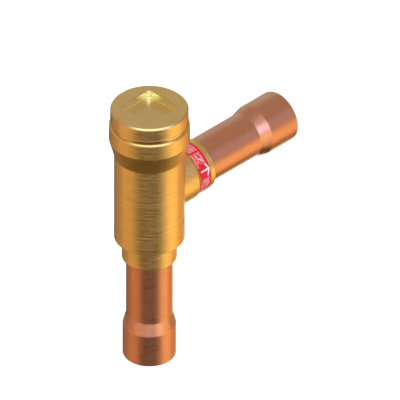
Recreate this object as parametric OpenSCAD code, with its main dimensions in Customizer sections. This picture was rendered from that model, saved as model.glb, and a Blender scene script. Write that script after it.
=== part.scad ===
// Angle-way refrigerant non-return valve with a damped piston, for 22 mm (7/8 in) solder joints.
// Gas enters at the bottom, lifts the valve plate off its seat and leaves by the side branch.
// The origin is the centre of the inlet mouth, +Z is up the body and +X is along the branch.

/* [Solder sockets] */
// Outside diameter of the pipe that is soldered in
pipe_od = 22.2; // [21:0.1:23]
// Radial gap between that pipe and its socket
pipe_gap = 0.075; // [0.05:0.005:0.1]
// Wall of the expanded socket
socket_wall = 1.52; // [1.2:0.01:2]
// Depth of the socket from its mouth to the flare
socket_depth = 17.1; // [14:0.1:22]
// Length of the flare between socket and neck
flare_length = 6.3; // [4:0.1:9]
// Rounding of the socket's mouth
mouth_round = 0.35; // [0.2:0.05:0.5]

/* [Stub tubes] */
// Outside diameter of the tube's neck
stub_od = 22.2; // [20:0.1:23]
// Wall of the tube's neck
stub_wall = 1.6; // [1.2:0.1:2]
// Depth to which a stub is brazed into the body
stub_insert = 9; // [7:0.5:10]
// Radial gap that the brazing alloy fills
braze_gap = 0.05; // [0.03:0.01:0.08]
// Leg of the fillet of brazing alloy
braze_leg = 0.8; // [0.5:0.1:1.2]
// Height of the spigot's end above the inlet mouth
inlet_reach = 55.9; // [45:0.1:80]
// Distance of the outlet mouth from the body's axis
outlet_reach = 87.4; // [75:0.1:110]

/* [Body] */
// Outside diameter of the barrel
barrel_od = 33.6; // [33:0.1:35]
// Wall of the barrel
barrel_wall = 3.1; // [2.8:0.05:3.6]
// Length of the barrel below its taper
barrel_length = 47.8; // [47:0.1:60]
// Length of the taper from barrel to collar
taper_length = 9.2; // [6:0.1:12]
// Outside diameter of the collar
collar_od = 38.6; // [37.5:0.1:41]
// Length of the collar
collar_length = 8.6; // [6:0.1:11]
// Chamfer on the collar's upper edge
collar_edge = 0.7; // [0.3:0.05:1]
// Wall of the spigot round the inlet stub
spigot_wall = 1.95; // [1.5:0.05:3]
// Length of the spigot
spigot_length = 11.5; // [10.5:0.1:16]
// Height of the branch's axis above the barrel's foot
outlet_height = 26.2; // [25:0.1:28]
// Wall of the branch boss round the outlet stub
boss_wall = 1.85; // [1.5:0.05:3]
// Distance of the boss's end from the body's axis
boss_reach = 31.6; // [30.5:0.1:38]
// How far the ring at the boss's root stands out from the boss
root_step = 0.85; // [0.4:0.05:1.5]
// How far that ring stands out from the barrel
root_length = 1.75; // [1:0.05:2.5]
// Small chamfer on the body's other outer edges
body_edge = 0.3; // [0.1:0.05:0.4]

/* [Seat and flow way] */
// Diameter of the flow way through seat and branch
flow_bore = 19; // [18:0.1:20]
// Drop from the branch's flow way to the seat
seat_drop = 2.1; // [1.5:0.1:3]
// Height of the seat's lip above the chamber's floor
seat_rise = 1.6; // [1:0.1:2.5]
// Width of the seat's lip at its foot
seat_wall = 1.4; // [1:0.1:1.6]

/* [Cap] */
// Outside diameter of the cap
cap_od = 37.3; // [36:0.1:38.5]
// Height of the cap above its gasket
cap_height = 7; // [5.5:0.1:9]
// Chamfer on the cap's upper edge
cap_edge = 0.85; // [0.2:0.05:1]
// Width across the flats of the square wrench socket
wrench_width = 21.2; // [18:0.1:22]
// Depth of the wrench socket
wrench_depth = 3.4; // [3:0.1:4]
// Corner radius of the wrench socket
wrench_corner = 2.5; // [2:0.1:5]
// Metal left under the wrench socket
cap_floor = 3.6; // [2.5:0.1:3.8]
// Thickness of the cap's gasket
gasket_height = 2; // [1.2:0.1:2.4]
// Width of the gasket's ring
gasket_width = 3.2; // [2:0.1:3.6]
// Depth of the threaded bore below the collar's rim
thread_depth = 14; // [13:0.1:16]
// Width of the shoulder at the foot of the threaded bore
shoulder = 1.3; // [1.1:0.1:1.6]
// Radial gap of a thread, which is drawn plain
thread_gap = 0.05; // [0.02:0.01:0.1]
// Length of the undercut between the cap's thread and its head
undercut_length = 1.8; // [1:0.1:2.5]
// Depth of that undercut
undercut_depth = 0.9; // [0.5:0.1:1.2]

/* [Piston guide] */
// Bore in which the piston slides
guide_bore = 20; // [19.5:0.1:20.6]
// Wall of the guide
guide_wall = 2; // [1.6:0.1:2.2]
// Thickness of the flange that the cap clamps
guide_flange = 1.6; // [1.2:0.1:2.4]
// Height of the guide's lower rim above the branch's flow way
guide_above = 3.9; // [2:0.1:6]
// Thickness of the guide's end wall
guide_end = 2.4; // [1.8:0.1:3]
// Gap between the guide's end and the cap
guide_end_gap = 0.3; // [0.1:0.1:0.6]
// Diameter of the vent in the guide's end wall, which sets the damping
vent_d = 1.2; // [0.8:0.1:2]
// Length of the bore above the shoulder that stops the piston
stop_length = 3.25; // [2.5:0.05:4]
// Width of that shoulder
stop_step = 1.5; // [1.2:0.1:1.8]

/* [Piston] */
// Lift of the piston from the seat to its stop
lift = 8; // [6:0.1:9]
// Radial gap between piston and guide
piston_gap = 0.05; // [0.03:0.01:0.08]
// Length of the piston's crown
crown_length = 16.5; // [15:0.1:18]
// Thickness of the floor under the spring
crown_floor = 3; // [2.5:0.1:4]
// Diameter of the piston's stem
stem_d = 11; // [9.5:0.1:13]
// Depth of the groove for the piston ring
groove_cut = 1.5; // [1.3:0.05:1.7]
// Height of the piston ring
ring_height = 2; // [1.5:0.1:2.5]
// Distance of the ring from the piston's rim
ring_drop = 2.4; // [2:0.1:3.5]
// Radial gap between the piston ring and the guide
ring_gap = 0.02; // [0.01:0.005:0.03]
// Width of the cut through the piston ring
ring_cut = 0.6; // [0.3:0.1:1.2]

/* [Valve plate] */
// Radial gap between the plate and the chamber
plate_gap = 1.6; // [1:0.1:1.9]
// Thickness of the plate
plate_height = 3.2; // [2.6:0.1:4]
// Thickness of the sealing disc
seal_height = 2.5; // [1.8:0.1:3]
// Depth to which the sealing disc is let into the plate
seal_inset = 1; // [0.6:0.1:1.4]
// Width of the plate's rim round the sealing disc
plate_rim = 0.6; // [0.4:0.1:0.8]
// Diameter of the disc that holds the seal
retainer_od = 15.5; // [13:0.1:16.5]
// Thickness of that disc
retainer_height = 1.2; // [0.8:0.1:1.6]
// Diameter of the screw
screw_d = 5; // [4:0.5:5.5]
// Depth to which the screw goes into the stem
screw_grip = 7; // [5:0.5:9]
// Diameter of the screw's head
head_od = 8.5; // [8:0.1:9.5]
// Height of the screw's head
head_height = 3.2; // [2.5:0.1:3.6]
// Width of the screw's hexagon socket
hexagon = 4; // [3:0.5:4.5]
// Depth of the hexagon socket
hexagon_depth = 1.9; // [1.2:0.1:2.2]
// Outside diameter of the lock washer
washer_od = 9.2; // [8.6:0.1:10.5]
// Thickness of the lock washer
washer_height = 1.2; // [0.8:0.1:1.6]
// Width of the slit in the lock washer
washer_slit = 0.8; // [0.4:0.1:1.2]
// Radial gap round the screw in the pieces it holds
screw_gap = 0.15; // [0.1:0.05:0.3]

/* [Spring] */
// Outside diameter of the spring
spring_od = 14; // [13:0.1:14.6]
// Thickness of the spring's wire
wire_d = 0.75; // [0.6:0.05:1]
// Open turns between the two closed end turns
open_turns = 8; // [5:1:9]

/* [Label] */
// Width of the label round the branch
label_width = 7.5; // [4:0.1:8]
// Distance of the label from the boss's end
label_setback = 3; // [2:0.1:4]
// Thickness of the label
label_height = 0.14; // [0.08:0.01:0.2]

/* [Hidden] */
$fn = 96;

brass = [0.80, 0.58, 0.26];
turned_brass = [0.72, 0.58, 0.33];
copper = [0.76, 0.43, 0.27];
steel = [0.72, 0.72, 0.74];

cut = 0.01;            // how far a cut runs past the face that it opens
arc_steps = 6;         // straight steps in a rounded edge
fine_edge = 0.3;       // chamfer on the edges of the inner pieces
lead_in = 0.4;         // chamfer at the mouth of a bore
label_gap = 0.02;      // adhesive under the label
stop_gap = 0.05;       // keeps the piston just clear of its stop at full lift
spring_room = 0.4;     // radial room for the spring in the piston
groove_play = 0.1;     // axial play of the ring in its groove
ring_play = 0.15;      // radial play of the ring over the groove's floor
seal_play = 0.05;      // radial gap round the sealing disc
flange_gap = 0.1;      // radial gap round the guide's flange
wire_sides = 8;        // sides of the spring's wire
turn_steps = 18;       // rings of points in one turn of the spring
end_turn = 1;          // closed turns at each end of the spring

socket_bore = pipe_od + 2 * pipe_gap;
socket_od = socket_bore + 2 * socket_wall;
stub_bore = stub_od - 2 * stub_wall;
stub_seat = stub_od + 2 * braze_gap;
spigot_od = stub_seat + 2 * spigot_wall;
boss_od = stub_seat + 2 * boss_wall;
chamber_bore = barrel_od - 2 * barrel_wall;
thread_bore = chamber_bore + 2 * shoulder;
shank_od = thread_bore - 2 * thread_gap;
gasket_bore = thread_bore;
gasket_od = gasket_bore + 2 * gasket_width;

barrel_z = inlet_reach + spigot_length;
taper_z = barrel_z + barrel_length;
collar_z = taper_z + taper_length;
rim_z = collar_z + collar_length;
cap_z = rim_z + gasket_height;
top_z = cap_z + cap_height;
outlet_z = barrel_z + outlet_height;
seat_z = outlet_z - flow_bore / 2 - seat_drop;
shoulder_z = rim_z - thread_depth;
shank_z = shoulder_z + guide_flange;
cap_bore_z = top_z - wrench_depth - cap_floor;
label_x = boss_reach - label_setback - label_width;

guide_od = guide_bore + 2 * guide_wall;
guide_z = outlet_z + flow_bore / 2 + guide_above;
guide_top_z = cap_bore_z - guide_end_gap;
spring_top_z = guide_top_z - guide_end;
stop_z = spring_top_z - stop_length;

piston_od = guide_bore - 2 * piston_gap;
crown_top_z = stop_z - stop_gap - lift;
crown_z = crown_top_z - crown_length;
pocket_z = crown_z + crown_floor;
pocket_d = spring_od + 2 * spring_room;
groove_d = piston_od - 2 * groove_cut;
ring_z = crown_top_z - ring_drop - ring_height;

seal_top_z = seat_z + seal_height;
plate_z = seal_top_z - seal_inset;
plate_top_z = plate_z + plate_height;
plate_od = chamber_bore - 2 * plate_gap;
recess_d = plate_od - 2 * plate_rim;
seal_od = recess_d - 2 * seal_play;
retainer_z = seat_z - retainer_height;
washer_z = retainer_z - washer_height;
head_z = washer_z - head_height;
screw_top_z = plate_top_z + screw_grip;
screw_hole = screw_d + 2 * screw_gap;

// Points of an arc about a centre, from one angle to another.
function arc(centre, radius, from, to) = [
    for (i = [0 : arc_steps])
        let (a = from + (to - from) * i / arc_steps)
        centre + radius * [cos(a), sin(a)]
];

// A sleeve standing on the origin.
module sleeve(outer_d, inner_d, height) {
    difference() {
        cylinder(d = outer_d, h = height);
        translate([0, 0, -cut]) cylinder(d = inner_d, h = height + 2 * cut);
    }
}

// Puts what is built up the Z axis onto the branch, pointing along +X.
module on_branch() {
    translate([0, 0, outlet_z]) rotate([0, 90, 0]) children();
}

// A stub tube of the given length, with its socket's mouth at the origin.
module stub(length) {
    outer = socket_od / 2;
    inner = socket_bore / 2;
    neck_z = socket_depth + flare_length;
    rotate_extrude()
        polygon(concat(
            arc([inner + mouth_round, mouth_round], mouth_round, 180, 270),
            arc([outer - mouth_round, mouth_round], mouth_round, 270, 360),
            [
                [outer, socket_depth],
                [stub_od / 2, neck_z],
                [stub_od / 2, length],
                [stub_bore / 2, length],
                [stub_bore / 2, neck_z],
                [inner, socket_depth],
            ]
        ));
}

// The hollow fillet of brazing alloy below a face at the origin.
module braze_ring() {
    tube = stub_od / 2;
    rotate_extrude()
        polygon(concat(
            [[tube, 0]],
            arc([tube + braze_leg, -braze_leg], braze_leg, 180, 90)
        ));
}

// The turned outside: spigot, barrel, taper and collar.
module body_outside() {
    spigot = spigot_od / 2;
    barrel = barrel_od / 2;
    collar = collar_od / 2;
    rotate_extrude()
        polygon([
            [0, inlet_reach],
            [spigot - body_edge, inlet_reach],
            [spigot, inlet_reach + body_edge],
            [spigot, barrel_z],
            [barrel - body_edge, barrel_z],
            [barrel, barrel_z + body_edge],
            [barrel, taper_z],
            [collar, collar_z],
            [collar, rim_z - collar_edge],
            [collar - collar_edge, rim_z],
            [0, rim_z],
        ]);
}

// The branch boss, with the thicker ring at its root.
module boss() {
    boss = boss_od / 2;
    root = boss + root_step;
    root_end = barrel_od / 2 + root_length;
    on_branch()
        rotate_extrude()
            polygon([
                [0, 0],
                [root, 0],
                [root, root_end],
                [boss, root_end + root_step],
                [boss, boss_reach - body_edge],
                [boss - body_edge, boss_reach],
                [0, boss_reach],
            ]);
}

// The chamber, which leaves the seat's lip standing, and the threaded bore above it.
module chamber() {
    seat = flow_bore / 2;
    lip = seat_wall / 2;
    rotate_extrude()
        polygon([
            [0, seat_z],
            [seat + lip, seat_z],
            [seat + seat_wall, seat_z - lip],
            [seat + seat_wall, seat_z - seat_rise],
            [chamber_bore / 2, seat_z - seat_rise],
            [chamber_bore / 2, shoulder_z],
            [thread_bore / 2, shoulder_z],
            [thread_bore / 2, rim_z - lead_in],
            [thread_bore / 2 + lead_in + cut, rim_z + cut],
            [0, rim_z + cut],
        ]);
}

module valve_body() {
    color(brass)
    difference() {
        union() {
            body_outside();
            boss();
        }
        chamber();
        translate([0, 0, inlet_reach - cut]) {
            cylinder(d = stub_seat, h = stub_insert + cut);
            cylinder(d = flow_bore, h = seat_z - inlet_reach + 2 * cut);
        }
        on_branch() {
            cylinder(d = flow_bore, h = boss_reach + cut);
            translate([0, 0, boss_reach - stub_insert])
                cylinder(d = stub_seat, h = stub_insert + cut);
        }
    }
}

module inlet_tube() {
    color(copper) stub(inlet_reach + stub_insert);
}

module outlet_tube() {
    color(copper)
    translate([outlet_reach, 0, outlet_z])
        rotate([0, -90, 0]) stub(outlet_reach - boss_reach + stub_insert);
}

module inlet_braze() {
    color("wheat") translate([0, 0, inlet_reach]) braze_ring();
}

module outlet_braze() {
    color("wheat") on_branch() translate([0, 0, boss_reach]) mirror([0, 0, 1]) braze_ring();
}

// A square bar with rounded corners, standing on the origin.
module wrench_bar(height) {
    flat = wrench_width - 2 * wrench_corner;
    corner = flat / 2;
    translate([-wrench_width / 2, -flat / 2, 0]) cube([wrench_width, flat, height]);
    translate([-flat / 2, -wrench_width / 2, 0]) cube([flat, wrench_width, height]);
    for (x = [-corner, corner], y = [-corner, corner])
        translate([x, y, 0]) cylinder(r = wrench_corner, h = height);
}

// The screw cap: a head with the wrench socket, and a hollow threaded shank round the guide.
module end_cap() {
    shank = shank_od / 2;
    neck = shank - undercut_depth;
    undercut_z = cap_z - undercut_length;
    color(brass)
    difference() {
        rotate_extrude()
            polygon([
                [0, shank_z],
                [shank - fine_edge, shank_z],
                [shank, shank_z + fine_edge],
                [shank, undercut_z - undercut_depth],
                [neck, undercut_z],
                [neck, cap_z],
                [cap_od / 2 - fine_edge, cap_z],
                [cap_od / 2, cap_z + fine_edge],
                [cap_od / 2, top_z - cap_edge],
                [cap_od / 2 - cap_edge, top_z],
                [0, top_z],
            ]);
        translate([0, 0, top_z - wrench_depth]) wrench_bar(wrench_depth + cut);
        translate([0, 0, shank_z - cut])
            cylinder(d = guide_od + 2 * thread_gap, h = cap_bore_z - shank_z + cut);
    }
}

module cap_gasket() {
    color(copper)
    translate([0, 0, rim_z])
        sleeve(gasket_od, gasket_bore, gasket_height);
}

// The guide: a cup turned upside down, with a flange, a stop for the piston and a vent.
module piston_guide() {
    flange = thread_bore / 2 - flange_gap;
    outer = guide_od / 2;
    bore = guide_bore / 2;
    stop = bore - stop_step;
    color(steel)
    difference() {
        rotate_extrude()
            polygon([
                [bore + lead_in, guide_z],
                [outer, guide_z],
                [outer, shoulder_z],
                [flange, shoulder_z],
                [flange, shank_z],
                [outer, shank_z],
                [outer, guide_top_z],
                [0, guide_top_z],
                [0, spring_top_z],
                [stop, spring_top_z],
                [stop, stop_z],
                [bore, stop_z],
                [bore, guide_z + lead_in],
            ]);
        translate([0, 0, spring_top_z - cut]) cylinder(d = vent_d, h = guide_end + 2 * cut);
    }
}

// The piston: a crown with the spring's pocket and the ring's groove, on a stem.
module piston() {
    crown = piston_od / 2;
    stem = stem_d / 2;
    color(brass)
    difference() {
        rotate_extrude()
            polygon([
                [0, plate_top_z],
                [stem, plate_top_z],
                [stem, crown_z - (crown - stem)],
                [crown, crown_z],
                [crown, ring_z],
                [groove_d / 2, ring_z],
                [groove_d / 2, ring_z + ring_height + groove_play],
                [crown, ring_z + ring_height + groove_play],
                [crown, crown_top_z - fine_edge],
                [crown - fine_edge, crown_top_z],
                [pocket_d / 2, crown_top_z],
                [pocket_d / 2, pocket_z],
                [0, pocket_z],
            ]);
        translate([0, 0, plate_top_z - cut])
            cylinder(d = screw_d + 2 * thread_gap, h = screw_grip + thread_gap + cut);
    }
}

module piston_ring() {
    outer_d = guide_bore - 2 * ring_gap;
    color("ivory")
    translate([0, 0, ring_z])
        difference() {
            sleeve(outer_d, groove_d + 2 * ring_play, ring_height);
            translate([0, -ring_cut / 2, -cut]) cube([outer_d, ring_cut, ring_height + 2 * cut]);
        }
}

// Height of the wire after some turns: closed end turns, and an even pitch between them.
function coil_z(turn, turns, length) =
    turn <= end_turn ? wire_d * turn :
    turn >= turns - end_turn ? length - wire_d * (turns - turn) :
    wire_d * end_turn
        + (turn - end_turn) * (length - 2 * wire_d * end_turn) / (turns - 2 * end_turn);

module closing_spring() {
    turns = open_turns + 2 * end_turn;
    length = spring_top_z - pocket_z - wire_d;
    wire_r = wire_d / 2;
    coil_r = spring_od / 2 - wire_r;
    rings = turns * turn_steps;
    points = [
        for (i = [0 : rings], k = [0 : wire_sides - 1])
            let (
                turn = i / turn_steps,
                a = 360 * turn,
                b = 360 * k / wire_sides,
                r = coil_r + wire_r * cos(b),
                z = pocket_z + wire_r + coil_z(turn, turns, length) + wire_r * sin(b)
            )
            [r * cos(a), r * sin(a), z]
    ];
    sides = [
        for (i = [0 : rings - 1], k = [0 : wire_sides - 1])
            let (
                a = i * wire_sides + k,
                b = i * wire_sides + (k + 1) % wire_sides
            )
            each [
                [a, b, b + wire_sides],
                [a, b + wire_sides, a + wire_sides],
            ]
    ];
    first_end = [for (k = [wire_sides - 1 : -1 : 0]) k];
    last_end = [for (k = [0 : wire_sides - 1]) rings * wire_sides + k];
    color(steel) polyhedron(points, concat([first_end], sides, [last_end]));
}

module valve_plate() {
    color(turned_brass)
    rotate_extrude()
        polygon([
            [screw_hole / 2, seal_top_z],
            [recess_d / 2, seal_top_z],
            [recess_d / 2, plate_z],
            [plate_od / 2, plate_z],
            [plate_od / 2, plate_top_z - fine_edge],
            [plate_od / 2 - fine_edge, plate_top_z],
            [screw_hole / 2, plate_top_z],
        ]);
}

module seal_disc() {
    color("white") translate([0, 0, seat_z]) sleeve(seal_od, screw_hole, seal_height);
}

module seal_retainer() {
    color(steel)
    rotate_extrude()
        polygon([
            [screw_hole / 2, retainer_z],
            [retainer_od / 2 - fine_edge, retainer_z],
            [retainer_od / 2, retainer_z + fine_edge],
            [retainer_od / 2, seat_z],
            [screw_hole / 2, seat_z],
        ]);
}

// A split lock washer, pressed flat by the screw.
module lock_washer() {
    color(steel)
    translate([0, 0, washer_z])
        difference() {
            sleeve(washer_od, screw_hole, washer_height);
            translate([0, -washer_slit / 2, -cut])
                cube([washer_od, washer_slit, washer_height + 2 * cut]);
        }
}

// The socket screw that holds seal, retainer and plate to the piston's stem.
module retainer_screw() {
    head = head_od / 2;
    shank = screw_d / 2;
    color(steel)
    difference() {
        rotate_extrude()
            polygon([
                [0, head_z],
                [head - fine_edge, head_z],
                [head, head_z + fine_edge],
                [head, washer_z],
                [shank, washer_z],
                [shank, screw_top_z - fine_edge],
                [shank - fine_edge, screw_top_z],
                [0, screw_top_z],
            ]);
        translate([0, 0, head_z - cut])
            cylinder(d = hexagon / cos(30), h = hexagon_depth + cut, $fn = 6);
    }
}

module flow_label() {
    under = boss_od + 2 * label_gap;
    color("crimson")
    on_branch()
        translate([0, 0, label_x]) sleeve(under + 2 * label_height, under, label_width);
}

valve_body();
inlet_tube();
outlet_tube();
inlet_braze();
outlet_braze();
end_cap();
cap_gasket();
piston_guide();
closing_spring();
piston();
piston_ring();
valve_plate();
seal_disc();
seal_retainer();
lock_washer();
retainer_screw();
flow_label();
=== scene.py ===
"""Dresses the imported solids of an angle-way refrigerant non-return valve, and sets up its stage."""

import math
from types import SimpleNamespace

import bmesh
import bpy
from mathutils import Matrix, Vector


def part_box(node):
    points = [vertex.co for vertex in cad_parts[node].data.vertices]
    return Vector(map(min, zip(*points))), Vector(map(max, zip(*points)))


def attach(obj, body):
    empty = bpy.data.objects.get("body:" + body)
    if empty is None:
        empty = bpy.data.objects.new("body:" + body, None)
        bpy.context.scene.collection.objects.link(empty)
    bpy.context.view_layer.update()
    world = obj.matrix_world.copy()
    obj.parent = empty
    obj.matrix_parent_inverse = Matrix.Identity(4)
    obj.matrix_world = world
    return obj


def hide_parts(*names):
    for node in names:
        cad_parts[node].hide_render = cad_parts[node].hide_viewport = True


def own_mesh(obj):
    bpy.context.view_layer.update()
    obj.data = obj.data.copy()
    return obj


bl_info = {
    "name": "Refrigerant non-return valve",
    "version": (1, 0, 0),
    "blender": (4, 5, 0),
    "location": "3D View > Sidebar > Valve",
    "description": "Models the pieces and finishes of an angle-way non-return valve",
    "category": "Object",
}

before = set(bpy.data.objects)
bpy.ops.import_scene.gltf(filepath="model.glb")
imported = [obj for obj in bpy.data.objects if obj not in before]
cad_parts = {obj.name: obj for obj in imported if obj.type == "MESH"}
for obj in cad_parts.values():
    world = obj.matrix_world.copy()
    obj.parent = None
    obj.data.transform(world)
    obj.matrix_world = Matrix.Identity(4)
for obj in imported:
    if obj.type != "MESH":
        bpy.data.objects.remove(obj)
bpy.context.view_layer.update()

MM = 0.001
TURN_STEPS = 96        # faces round a turned piece
BRANCH_STEPS = 128     # faces round the branch boss, the label and the cap
ROUND_STEPS = 4        # faces in a rounded corner of an outline
COIL_STEPS = 28        # straight lengths in one turn of the spring
SHARP_ANGLE = math.radians(36)
TOUCHING = 0.000002    # points that lie nearer than this become one
CHUCK_JAWS = 4

MARK_SHADE = 0.72                  # how bright a tool mark is beside the metal
TARNISH = (0.86, 0.72, 0.62)       # what tarnish leaves of red, green and blue

# What metal reflects: one tone all round, and on it soft panels and dark flags. Each has the
# azimuth and elevation of its centre, the angles from there at which it begins to fade and is
# gone, all in degrees, and its linear tone.
DOME_TONE = (0.51, 0.425, 0.408)
DOME_PANELS = (
    (8, 39, 40, 68, (0.43, 0.357, 0.3)),
    (40, 58, 20, 39, (0.46, 0.416, 0.474)),
    (313, 27, 4, 26, (0.45, 0.41, 0.60)),
    (311, -28, 15, 34, (1.26, 0.977, 0.588)),
    (353, -44, 14, 26, (0.78, 0.442, 0.222)),
    (145, -46, 14, 35, (0.94, 0.595, 0.366)),
    (206, -34, 10, 32, (0.153, 0.1, 0.048)),
    (236, -37, 10, 37, (0.137, 0.109, 0.0906)),
    (95, -30, 10, 35, (0.43, 0.297, 0.222)),
    (63, -34, 8, 20, (0.1, 0.119, 0.102)),
    (180, -84, 30, 57, (0.132, 0.0944, 0.048)),
    (218, 53, 16, 41, (1.28, 1.77, 2.98)),
    (274, 34, 6, 25, (1.7, 2.19, 4.9)),
    (272, -3, 8, 30, (1.38, 1.23, 1.23)),
    (224, 5, 14, 35, (0.78, 0.816, 1.27)),
    (180, -4, 10, 32, (0.89, 0.714, 0.66)),
    (53, 12, 8, 32, (0.57, 0.68, 0.8)),
    (333, -9, 8, 19, (0.47, 0.408, 0.324)),
    (26, -45, 8, 14, (1.14, 1.3, 0.882)),
)

BODY_LOW, BODY_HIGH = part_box("valve_body")
_, INLET_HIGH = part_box("inlet_tube")
OUTLET_LOW, OUTLET_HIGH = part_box("outlet_tube")
CAP_LOW, CAP_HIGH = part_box("end_cap")
GASKET_LOW, GASKET_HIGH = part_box("cap_gasket")
LABEL_LOW, LABEL_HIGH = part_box("flow_label")
SPRING_LOW, SPRING_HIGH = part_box("closing_spring")
OUTLET_Z = (OUTLET_LOW.z + OUTLET_HIGH.z) / 2
ON_BRANCH = Matrix.Translation((0, 0, OUTLET_Z)) @ Matrix.Rotation(math.pi / 2, 4, "Y")


# User settings

def length(name, description, millimetres):
    """A length that a user may change, with its default in millimetres."""
    return bpy.props.FloatProperty(
        name=name, description=description, default=millimetres * MM,
        min=0.0, subtype="DISTANCE", unit="LENGTH", precision=5)


def colour(name, description, value):
    """A colour that a user may change, with its default in linear values."""
    return bpy.props.FloatVectorProperty(
        name=name, description=description, default=value, size=3,
        min=0.0, max=1.0, subtype="COLOR")


def share(name, description, value, highest=1.0):
    """A plain number that a user may change."""
    return bpy.props.FloatProperty(
        name=name, description=description, default=value, min=0.0, max=highest)


class ValveBodySizes(bpy.types.PropertyGroup):
    barrel: length("Barrel diameter", "Outside diameter of the barrel", 33.6)
    barrel_foot: length("Barrel foot", "Height of the barrel's foot", 67.4)
    taper_foot: length("Taper foot", "Height at which the barrel begins to widen", 115.2)
    collar_foot: length("Collar foot", "Height of the collar's foot", 124.4)
    collar_edge: length("Collar edge", "Chamfer on the collar's rim", 0.7)
    spigot: length("Spigot diameter", "Outside diameter below the barrel", 26.2)
    boss: length("Boss diameter", "Outside diameter of the branch boss", 26.0)
    root: length("Root diameter", "Diameter of the ring at the boss's root", 27.7)
    root_end: length("Root end", "Distance of that ring's end from the axis", 19.9)
    root_fade: length("Root fade", "Length over which that ring narrows to the boss", 1.6)
    chamber: length("Chamber diameter", "Bore round the valve plate", 27.4)
    chamber_floor: length("Chamber floor", "Height of the chamber's floor", 80.4)
    seat: length("Seat height", "Height of the seat's lip", 82.0)
    seat_wall: length("Seat wall", "Width of the seat's lip at its foot", 1.4)
    flow: length("Flow bore", "Diameter of the flow way", 19.0)
    shoulder: length("Shoulder", "Height of the shoulder under the guide", 119.0)
    thread: length("Thread bore", "Diameter of the threaded bore", 30.0)
    stub_seat: length("Stub seat", "Bore that takes a stub tube", 22.3)
    stub_insert: length("Stub insert", "Depth to which a stub goes in", 9.0)
    edge: length("Edge", "Rounding of the outer edges", 0.35)
    fillet: length("Fillet", "Rounding where branch and barrel meet", 0.9)


class ValveTubeSizes(bpy.types.PropertyGroup):
    neck: length("Neck diameter", "Outside diameter of the neck", 22.2)
    wall: length("Neck wall", "Wall of the neck", 1.6)
    socket: length("Socket bore", "Bore that takes the pipe", 22.35)
    depth: length("Socket depth", "Depth of the socket", 17.1)
    flare: length("Flare", "Length of the flare between socket and neck", 6.3)
    mouth: length("Mouth rounding", "Rounding of the socket's mouth", 0.35)
    bend: length("Flare rounding", "Rounding at both ends of the flare", 0.4)
    braze: length("Braze fillet", "Leg of the fillet of brazing alloy", 0.8)


class ValveCapSizes(bpy.types.PropertyGroup):
    edge: length("Edge", "Chamfer on the cap's upper edge", 0.85)
    wrench: length("Wrench socket", "Width of the square wrench socket", 20.5)
    depth: length("Wrench depth", "Depth of the wrench socket", 4.0)
    corner: length("Wrench corner", "Corner radius of the wrench socket", 1.6)
    bore: length("Shank bore", "Bore of the hollow shank", 24.1)
    roof: length("Bore roof", "Height of the end of that bore", 135.0)
    undercut: length("Undercut", "Depth of the undercut, and half its height", 0.9)
    wrench_edge: length("Wrench edge", "Rounding of the wrench socket's upper edge", 0.25)
    wrench_foot: length("Wrench foot", "Rounding at the foot of the socket's walls", 0.5)
    groove: length("Groove", "How far the sealing ring lies behind the cap's side", 0.25)


class ValveLabelSizes(bpy.types.PropertyGroup):
    glue: length("Glue", "Gap between the boss and the film", 0.02)
    trim: length("Trim", "How much narrower the band is than its solid", 0.5)
    margin: length("Margin", "Distance from an arrow's tip to the band's outer edge", 0.75)


class ValveSpringSizes(bpy.types.PropertyGroup):
    coil: length("Coil diameter", "Outside diameter of the spring", 14.0)
    wire: length("Wire", "Thickness of the wire", 0.75)
    turns: bpy.props.IntProperty(
        name="Turns", description="Turns of the spring, end turns among them", default=10, min=4)


class ValveFinishes(bpy.types.PropertyGroup):
    brass: colour("Brass", "Turned brass of the body", (0.965, 0.622, 0.172))
    cap_brass: colour("Cap brass", "Faced brass of the cap", (0.922, 0.605, 0.184))
    # painted light: the next two tones are not the brass's own colour; the first paints the light
    # caught by the wrench socket's walls, the second a highlight along their foot
    painted_light_brass: colour("Painted light brass", "Pale brass of the wrench socket's walls", (0.98, 1.0, 0.75))
    painted_highlight_brass: colour("Painted highlight brass", "Bright brass at their foot", (1.0, 0.78, 0.22))
    copper: colour("Copper", "Drawn copper of the stub tubes", (0.79, 0.342, 0.156))
    # the sealing ring's own soft brass, kept a little darker than the cap's so that it also paints
    # the shade in the groove between cap and collar
    gasket: colour("Gasket", "Soft brass of the sealing ring", (0.82, 0.52, 0.15))
    silver: colour("Brazing alloy", "Silver brazing alloy", (0.82, 0.659, 0.5))
    steel: colour("Steel", "Stainless steel of the inner pieces", (0.62, 0.60, 0.57))
    plastic: colour("Seal", "White sealing plastic", (0.82, 0.81, 0.76))
    label: colour("Label", "Red of the label's film", (0.76, 0.010, 0.028))
    print: colour("Print", "White of the label's print", (0.88, 0.86, 0.86))


class ValveStudio(bpy.types.PropertyGroup):
    lamp: share("Lamp", "Power of the overhead lamp in watts", 3.2, 100.0)
    fill: share("Fill", "Level of the light from all round", 0.62, 4.0)
    floor: share("Floor", "How light the floor is", 0.86)
    seen: share("Floor glow", "What the floor adds to reach white", 0.55)


SETTINGS = {
    "valve_body_sizes": ValveBodySizes,
    "valve_tube_sizes": ValveTubeSizes,
    "valve_cap_sizes": ValveCapSizes,
    "valve_label_sizes": ValveLabelSizes,
    "valve_spring_sizes": ValveSpringSizes,
    "valve_finishes": ValveFinishes,
    "valve_studio": ValveStudio,
}


# Shaping

def in_millimetres(sizes):
    """The lengths of a group of settings, by their names and in millimetres."""
    return SimpleNamespace(**{key: getattr(sizes, key) / MM for key in type(sizes).__annotations__})


def nothing_selected():
    """Leaves edit mode with nothing selected."""
    if bpy.context.mode != "OBJECT":
        bpy.ops.object.mode_set(mode="OBJECT")
    bpy.ops.object.select_all(action="DESELECT")


def only(piece):
    """Leaves edit mode with one piece selected and active."""
    nothing_selected()
    piece.select_set(True)
    bpy.context.view_layer.objects.active = piece


def middle(part):
    """Centre of a vertex, an edge or a face."""
    if isinstance(part, bmesh.types.BMVert):
        return part.co
    return sum((corner.co for corner in part.verts), Vector()) / len(part.verts)


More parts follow.
